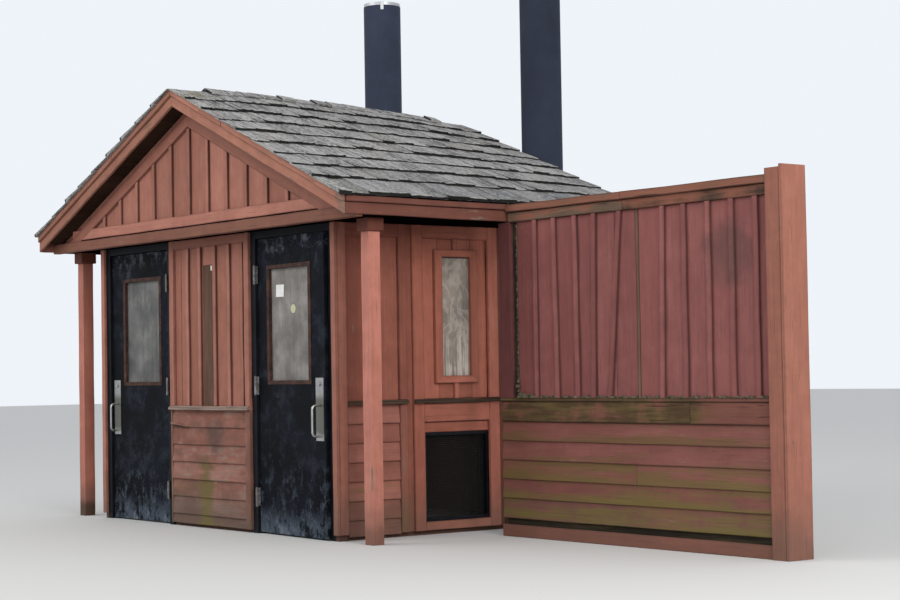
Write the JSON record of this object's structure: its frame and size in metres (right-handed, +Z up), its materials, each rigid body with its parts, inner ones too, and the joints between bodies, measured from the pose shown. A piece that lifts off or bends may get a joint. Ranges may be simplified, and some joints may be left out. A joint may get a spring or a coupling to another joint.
{
  "type": "timber outhouse",
  "caption": "Timber outhouse with two doors under a gabled shake roof on posts, two tall vent pipes behind it and a boarded screen wall beside it.",
  "frame": {"origin": "middle of the body's floor, at ground level", "axes": "+X along the gabled front towards the screen wall, +Y from the front to the rear, +Z up"},
  "size_m": [6.843, 2.9928, 4.246],
  "materials": {
    "red_paint": "old red paint on timber",
    "screen_paint": "faded dark red paint on timber",
    "bare_wood": "weathered bare timber",
    "dark_boards": "dark stained timber",
    "shakes": "silver-grey split shakes",
    "black_paint": "chalked black paint",
    "rusty_steel": "rusted brown steel",
    "steel": "dull brushed",
    "steel_mesh": "dark wire mesh",
    "frosted_glass": "frosted, grimy",
    "concrete": "floated concrete",
    "pipe_plastic": "dark matt plastic"
  },
  "bodies": {
    "building": {"floor_slab": "concrete", "front_panel_wall": "red_paint", "front_panel_siding": "red_paint", "side_walls": "red_paint", "rear_wall": "red_paint", "side_siding": "red_paint", "rear_siding": "red_paint", "belt_rails": "bare_wood", "corner_boards": "red_paint", "soffit_and_ceiling": "dark_boards", "gable_beams": "red_paint", "gable_walls": "dark_boards", "gable_siding": "red_paint", "rake_soffits": "dark_boards", "bargeboards": "red_paint", "eave_fascias": "red_paint", "left_roof_deck": "dark_boards", "right_roof_deck": "dark_boards", "left_shakes": "shakes", "right_shakes": "shakes", "ridge_cap": "shakes", "roof_posts": "red_paint", "left_door_frame": "black_paint", "right_door_frame": "black_paint", "frame_hinges": "steel", "side_window_frames": "red_paint", "side_window_panes": "frosted_glass", "vent_frames": "black_paint", "vent_meshes": "steel_mesh", "vent_pipes": "pipe_plastic", "pipe_caps": "steel", "pipe_brackets": "steel", "screen_wall": "screen_paint", "screen_siding": "screen_paint", "screen_head": "bare_wood", "screen_end_post": "red_paint", "screen_sill": "screen_paint"},
    "left_door": {"left_door_leaf": "black_paint", "left_door_window_bead": "rusty_steel", "left_door_glass": "frosted_glass", "left_door_pull": "steel", "left_leaf_hinges": "steel"},
    "right_door": {"right_door_leaf": "black_paint", "right_door_window_bead": "rusty_steel", "right_door_glass": "frosted_glass", "right_door_pull": "steel", "right_leaf_hinges": "steel"}
  },
  "joints": [
    {"name": "left_door_hinge", "type": "hinge", "parent": "building", "child": "left_door", "pos_m": [-0.6235, -1.007, 1.025], "axis": [0, 0, 1], "range_deg": [0, 95]},
    {"name": "right_door_hinge", "type": "hinge", "parent": "building", "child": "right_door", "pos_m": [0.6235, -1.007, 1.025], "axis": [0, 0, -1], "range_deg": [-3, 92]}
  ]
}
